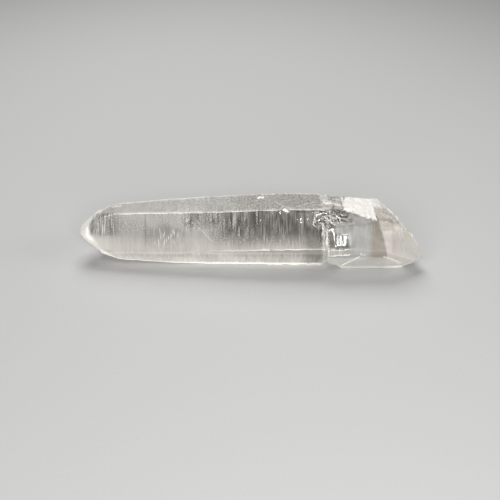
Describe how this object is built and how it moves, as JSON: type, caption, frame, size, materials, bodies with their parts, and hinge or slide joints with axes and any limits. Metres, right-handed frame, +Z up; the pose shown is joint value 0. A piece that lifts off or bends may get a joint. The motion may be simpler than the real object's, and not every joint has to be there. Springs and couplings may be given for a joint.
{
  "type": "quartz crystal point",
  "caption": "Natural clear quartz point lying on a prism face: tapered six-sided prism with growth ledges, a faceted tip and a broken, stouter root.",
  "frame": {"origin": "middle of the footprint, on the surface that the crystal lies on", "axes": "+X along the crystal, from the tip to the broken root; -Y towards the side shown in the picture; +Z up"},
  "size_m": [0.0998, 0.0224, 0.0192],
  "materials": {
    "clear_quartz": "clear with frosted growth lines, milky root"
  },
  "bodies": {
    "root": {"quartz_crystal": "clear_quartz"}
  },
  "joints": []
}
